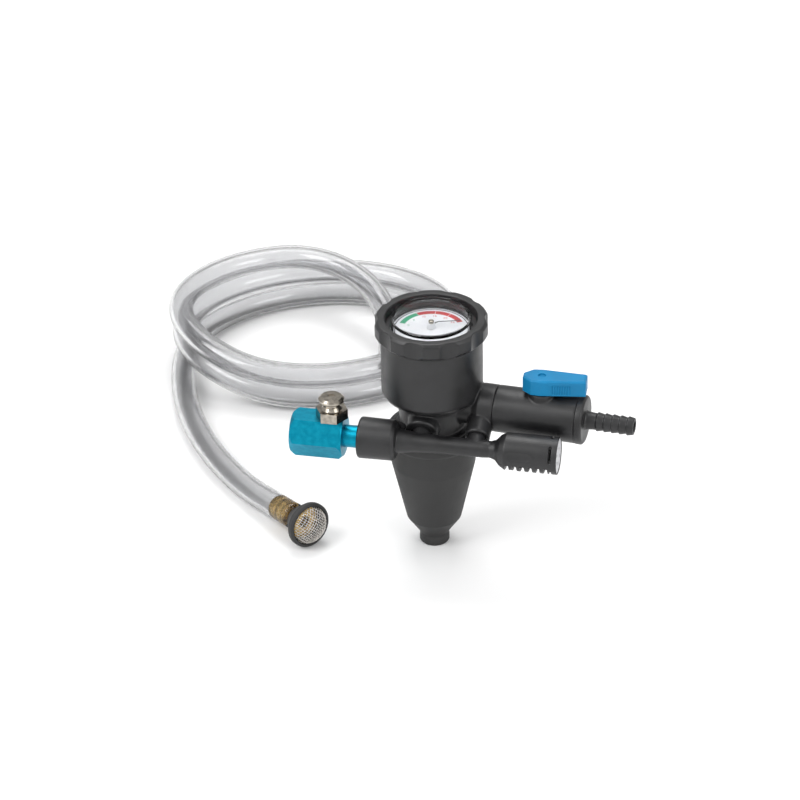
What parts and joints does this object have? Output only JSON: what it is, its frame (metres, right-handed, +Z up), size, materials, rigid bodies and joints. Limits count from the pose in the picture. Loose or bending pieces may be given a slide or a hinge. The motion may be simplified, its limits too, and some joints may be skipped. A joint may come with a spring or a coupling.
{
  "type": "vacuum pump",
  "caption": "Air-driven vacuum pump with a gauge, ball valve arm, hose barb, rubber cone adapter, muffler and a clear hose that ends in a strainer.",
  "frame": {"origin": "centre of the rubber cone's bottom mouth", "axes": "+Z up the cone's axis to the gauge, +X along the venturi towards the muffler, -Y towards the venturi's side"},
  "size_m": [0.3046, 0.2975, 0.14],
  "materials": {
    "black_nylon": "moulded glass-filled nylon, fine matt grain",
    "black_rubber": "matt moulded rubber",
    "seal_rubber": "smooth nitrile",
    "gauge_silver": "bright rolled steel",
    "lens": "clear moulded lens",
    "dial_white": "printed white dial with green and red arcs",
    "pointer_black": "painted pointer",
    "brass": "turned brass",
    "white_nylon": "natural nylon",
    "grey_felt": "sound-damping felt",
    "grey_plastic": "light grey moulded disc",
    "blue_anodised": "blue anodised aluminium",
    "nickel": "nickel-plated brass",
    "spring_steel": "spring wire",
    "blue_plastic": "satin blue moulded plastic",
    "clear_vinyl": "clear soft vinyl hose",
    "steel_mesh": "woven stainless wire mesh"
  },
  "bodies": {
    "tool": {"manifold": "black_nylon", "port_plug": "black_nylon", "lock_ring": "black_nylon", "venturi_body": "black_nylon", "valve_body": "black_nylon", "barb_bonnet": "black_nylon", "cone_adapter": "black_rubber", "port_plug_seal": "seal_rubber", "gauge_seal": "seal_rubber", "stub_o_rings": "seal_rubber", "strainer_ring": "black_rubber", "gauge_case": "gauge_silver", "gauge_lens": "lens", "dial_face": "dial_white", "gauge_stem": "brass", "gauge_movement": "brass", "bourdon_tube": "brass", "venturi_nozzle": "brass", "adapter_tube": "white_nylon", "muffler_felt": "grey_felt", "muffler_end_disc": "grey_plastic", "inlet_coupler": "blue_anodised", "relief_body": "nickel", "relief_washer": "nickel", "relief_spring": "spring_steel", "ball_seats": "white_nylon", "hose_coil": "clear_vinyl", "hose_tail": "clear_vinyl", "hose_end": "clear_vinyl", "hose_cuff": "clear_vinyl", "strainer_barb": "brass", "strainer_mesh": "steel_mesh"},
    "lever": {"lever": "blue_plastic", "valve_stem": "brass", "stem_o_ring": "seal_rubber", "valve_ball": "nickel"},
    "pointer": {"pointer": "pointer_black"},
    "relief_button": {"relief_button": "nickel", "relief_seal": "seal_rubber"}
  },
  "joints": [
    {"name": "lever_turn", "type": "hinge", "parent": "tool", "child": "lever", "pos_m": [0.05982, -0.00471, 0.1], "axis": [0, 0, -1], "range_deg": [0, 90]},
    {"name": "pointer_turn", "type": "hinge", "parent": "tool", "child": "pointer", "pos_m": [0, 0, 0.1354], "axis": [0, 0, 1], "range_deg": [0, 155]},
    {"name": "button_lift", "type": "slide", "parent": "tool", "child": "relief_button", "axis": [0, 0, 1], "range_m": [0, 0.0015], "stiffness_N_per_m": 400, "springref_m": -0.002, "deforming": ["relief_spring"]}
  ]
}
